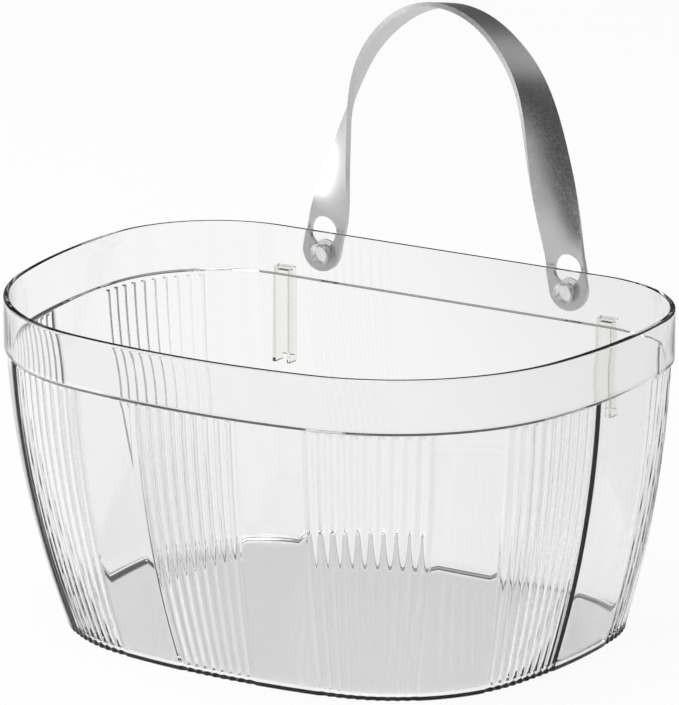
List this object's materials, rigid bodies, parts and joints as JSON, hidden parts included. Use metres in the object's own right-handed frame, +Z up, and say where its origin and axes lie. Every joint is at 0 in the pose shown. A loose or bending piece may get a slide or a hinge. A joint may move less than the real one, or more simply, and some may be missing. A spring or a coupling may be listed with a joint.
{
  "type": "shower caddy",
  "caption": "Clear fluted bathroom tub with a flat back, a plain rim band, a twisted metal strap handle on keyhole studs and hanging pockets behind.",
  "frame": {"origin": "on the underside of the base, midway between left and right, 90 mm in front of the rim's back face", "axes": "+X to the right as seen from the front, +Y towards the flat back, +Z up"},
  "size_m": [0.28, 0.2173, 0.2561],
  "materials": {
    "clear_plastic": "clear, polished",
    "satin_metal": "satin",
    "pocket_plastic": "clear, slightly warm"
  },
  "bodies": {
    "tub": {"tub": "clear_plastic", "stud_left": "clear_plastic", "stud_right": "clear_plastic", "pocket_left": "pocket_plastic", "pocket_right": "pocket_plastic"},
    "handle": {"handle": "satin_metal"}
  },
  "joints": [
    {"name": "handle_slide", "type": "slide", "parent": "tub", "child": "handle", "axis": [0, 0, 1], "range_m": [-0.01, 0]}
  ]
}
